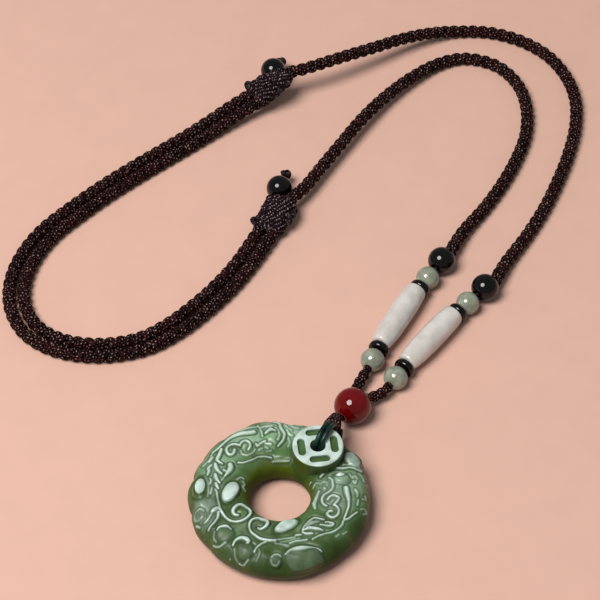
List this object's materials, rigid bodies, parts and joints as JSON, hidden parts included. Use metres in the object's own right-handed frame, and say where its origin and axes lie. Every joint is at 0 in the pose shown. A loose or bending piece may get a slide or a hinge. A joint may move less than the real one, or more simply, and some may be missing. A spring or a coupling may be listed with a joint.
{
  "type": "jade pendant necklace",
  "caption": "Carved jade ring pendant with a raised coin, hung from a red bead and strung beads on a braided neck cord that sliding knots adjust",
  "frame": {"origin": "the centre of the jade ring's hole, halfway through the ring's thickness", "axes": "+Z is the ring's axis, out of its carved face; +Y runs from the ring towards the neck cord; +X is to the right seen from above"},
  "size_m": [0.1741, 0.2105, 0.0158],
  "materials": {
    "jade": "polished nephrite with pale crests and dark hollows",
    "loop_cord": "smooth satin cord, green black",
    "braided_cord": "round braid with light flecks",
    "wound_knot": "wound thread with a slight sheen",
    "red_agate": "polished",
    "green_stone": "polished, mottled",
    "white_jade": "polished, milky",
    "black_stone": "polished"
  },
  "bodies": {
    "root": {"jade_ring": "jade", "loop_strand_left": "loop_cord", "loop_strand_right": "loop_cord", "loop_knot": "wound_knot", "red_bead": "red_agate", "red_bead_cord": "braided_cord", "left_braid": "braided_cord", "right_braid": "braided_cord", "outer_cord": "braided_cord", "inner_cord": "braided_cord", "left_green_bead_low": "green_stone", "left_spacer_low": "black_stone", "left_barrel": "white_jade", "left_spacer_high": "black_stone", "left_green_bead_high": "green_stone", "left_black_bead": "black_stone", "left_thread": "braided_cord", "right_green_bead_low": "green_stone", "right_spacer_low": "black_stone", "right_barrel": "white_jade", "right_spacer_high": "black_stone", "right_green_bead_high": "green_stone", "right_black_bead": "black_stone", "right_thread": "braided_cord", "back_wrap": "wound_knot", "back_end_neck": "wound_knot", "back_end_bead": "black_stone", "back_end_knot": "wound_knot", "front_wrap": "wound_knot", "front_end_neck": "wound_knot", "front_end_bead": "black_stone", "front_end_knot": "wound_knot"}
  },
  "joints": []
}
